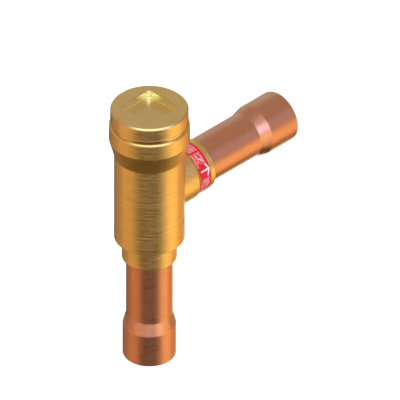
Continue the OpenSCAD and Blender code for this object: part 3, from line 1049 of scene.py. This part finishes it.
class VALVE_OT_stage(bpy.types.Operator):
    """Set up the floor, the light and the camera"""

    bl_idname = "valve.stage"
    bl_label = "Stage"

    def execute(self, context):
        scene = context.scene
        studio = scene.valve_studio
        white = (1.0, 1.0, 1.0)
        scene.view_settings.view_transform = "Standard"

        # an isometric view from the side of the two negative axes
        view_width, aim_right, aim_up, camera_distance = 0.190, 0.02404, 0.0719, 0.6
        back = Vector((-1, -1, 1)).normalized()
        right = Vector((1, -1, 0)).normalized()
        up = right.cross(-back)
        camera_data = bpy.data.cameras.new("camera")
        camera_data.type = "ORTHO"
        camera_data.ortho_scale = view_width
        camera_data.clip_start, camera_data.clip_end = 0.01, 10
        camera = bpy.data.objects.new("camera", camera_data)
        camera.location = right * aim_right + up * aim_up + back * camera_distance
        camera.rotation_mode = "QUATERNION"
        camera.rotation_quaternion = (-back).to_track_quat("-Z", "Y")
        scene.collection.objects.link(camera)
        scene.camera = camera

        # the floor lies a hair below the part and isn't seen in reflections
        floor_size, floor_gap = 12, 0.00005
        nothing_selected()
        bpy.ops.mesh.primitive_plane_add(size=floor_size, location=(0, 0, -floor_gap))
        floor = context.object
        floor.name = "floor"
        material, graph, surface = bare_material("floor_paper")
        paper = graph.node("BsdfDiffuse", {"Color": (studio.floor,) * 3})
        glow = graph.node("Emission", {
            "Color": white, "Strength": graph.math("MULTIPLY", seen_ray(graph), studio.seen)})
        both = graph.node("AddShader")
        graph.feed(both.inputs[0], paper.outputs[0])
        graph.feed(both.inputs[1], glow.outputs[0])
        graph.feed(surface, both.outputs[0])
        floor.data.materials.append(material)
        floor.visible_glossy = False

        # a large dome that only reflections see
        dome_radius = 4
        bpy.ops.mesh.primitive_ico_sphere_add(
            subdivisions=4, radius=dome_radius, location=(0, 0, 0))
        dome = context.object
        dome.name = "reflection_dome"
        material, graph, surface = bare_material("dome_picture")
        look = graph.vector("NORMALIZE", graph.node("TexCoord").outputs["Object"])
        picture = DOME_TONE
        for *angles, tone in DOME_PANELS:
            azimuth, elevation, full, gone = map(math.radians, angles)
            centre = (math.cos(azimuth) * math.cos(elevation),
                      math.sin(azimuth) * math.cos(elevation), math.sin(elevation))
            near = graph.vector("DOT_PRODUCT", look, centre, output="Value")
            mask = graph.span(near, math.cos(gone), math.cos(full), smooth=True)
            picture = graph.mix(mask, picture, tone)
        glow = graph.node("Emission", {"Color": picture, "Strength": 1.0})
        graph.feed(surface, glow.outputs[0])
        dome.data.materials.append(material)
        for ray in ("camera", "diffuse", "shadow", "volume_scatter"):
            setattr(dome, "visible_" + ray, False)

        world = bpy.data.worlds.new("studio")
        world.use_nodes = True
        world.node_tree.nodes.clear()
        graph = Graph(world.node_tree)
        level = graph.span(seen_ray(graph), 0.0, 1.0, studio.fill, 1.0)
        background = graph.node("Background", {"Color": white, "Strength": level})
        output = graph.node("OutputWorld")
        graph.feed(output.inputs["Surface"], background.outputs[0])
        scene.world = world

        lamp_width, lamp_distance, lit_point = 0.5, 0.8, Vector((0.02, 0, 0.07))
        lamp_data = bpy.data.lights.new("overhead_lamp", "AREA")
        lamp_data.shape = "DISK"
        lamp_data.size = lamp_width
        lamp_data.energy = studio.lamp
        lamp = bpy.data.objects.new("overhead_lamp", lamp_data)
        toward = Vector((-0.35, -0.55, 0.76)).normalized()
        lamp.location = lit_point + toward * lamp_distance
        lamp.rotation_mode = "QUATERNION"
        lamp.rotation_quaternion = (-toward).to_track_quat("-Z", "Y")
        lamp.visible_glossy = False
        scene.collection.objects.link(lamp)
        return {"FINISHED"}


class VALVE_PT_panel(bpy.types.Panel):
    """Sizes, finishes and steps of the valve"""

    bl_idname = "VALVE_PT_panel"
    bl_label = "Non-return valve"
    bl_space_type = "VIEW_3D"
    bl_region_type = "UI"
    bl_category = "Valve"

    def draw(self, context):
        for operator in OPERATORS:
            self.layout.operator(operator.bl_idname)
        for name, group in SETTINGS.items():
            box = self.layout.box()
            for key in group.__annotations__:
                box.prop(getattr(context.scene, name), key)


OPERATORS = (
    VALVE_OT_body,
    VALVE_OT_tubes,
    VALVE_OT_cap,
    VALVE_OT_label,
    VALVE_OT_spring,
    VALVE_OT_inner,
    VALVE_OT_stage,
)
CLASSES = (*SETTINGS.values(), *OPERATORS, VALVE_PT_panel)


def register():
    for item in CLASSES:
        bpy.utils.register_class(item)
    for name, group in SETTINGS.items():
        setattr(bpy.types.Scene, name, bpy.props.PointerProperty(type=group))


def unregister():
    for name in SETTINGS:
        delattr(bpy.types.Scene, name)
    for item in reversed(CLASSES):
        bpy.utils.unregister_class(item)


def main():
    register()
    for step in ("body", "tubes", "cap", "label", "spring", "inner", "stage"):
        getattr(bpy.ops.valve, step)()


if __name__ == "__main__":
    main()
